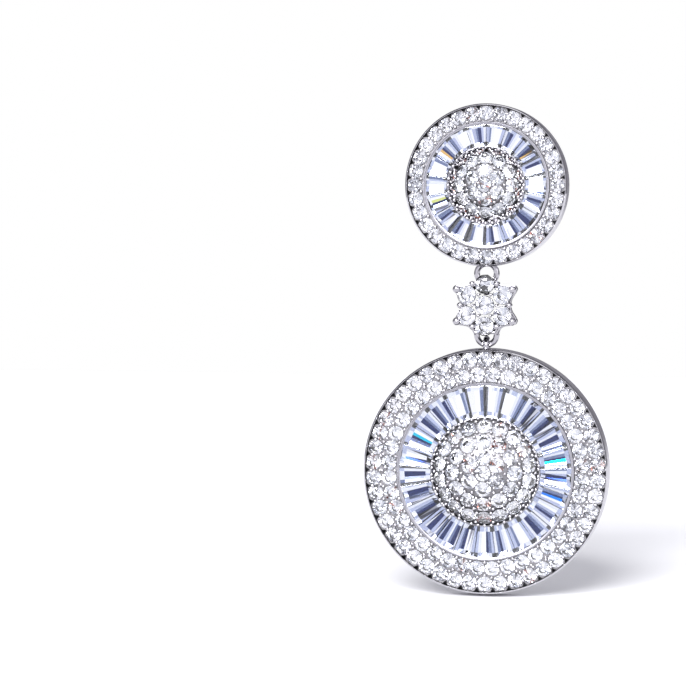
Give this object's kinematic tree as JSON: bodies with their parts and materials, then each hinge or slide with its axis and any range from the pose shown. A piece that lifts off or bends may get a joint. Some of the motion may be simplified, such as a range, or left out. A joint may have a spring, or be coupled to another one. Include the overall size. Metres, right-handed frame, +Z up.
{
  "type": "two-disc drop earring",
  "caption": "Drop earring: a round stone-set stud disc on an ear post, a flower-shaped stone link below it, and a larger stone-set disc hanging from the link.",
  "frame": {"origin": "on the post's axis, in the plane of the stud's back rim, where the ear lobe begins", "axes": "+Z up along the hanging line, -Y out of the front of the discs, +Y along the post to the back, +X to the right seen from the front"},
  "size_m": [0.0252, 0.0157, 0.0504],
  "materials": {
    "metal": "polished rhodium-white plate",
    "stones": "clear round brilliant-cut stones in bead-set paving",
    "baguettes": "clear tapered baguette stones, channel set"
  },
  "bodies": {
    "stud": {"stud_frame": "metal", "ear_post": "metal", "stud_halo": "stones", "stud_baguettes": "baguettes", "stud_dome": "stones"},
    "link": {"link_frame": "metal", "link_stone_1": "stones", "link_stone_2": "stones", "link_stone_3": "stones", "link_stone_4": "stones", "link_stone_5": "stones", "link_stone_6": "stones", "link_stone_7": "stones"},
    "pendant": {"pendant_frame": "metal", "pendant_halo": "stones", "pendant_baguettes": "baguettes", "pendant_dome": "stones"}
  },
  "joints": [
    {"name": "link_swing", "type": "hinge", "parent": "stud", "child": "link", "pos_m": [0, -0.0014, -0.00949], "axis": [0, 1, 0], "range_deg": [-40, 40]},
    {"name": "pendant_swing", "type": "hinge", "parent": "link", "child": "pendant", "pos_m": [0, -0.0014, -0.01642], "axis": [1, 0, 0], "range_deg": [-50, 50]}
  ]
}
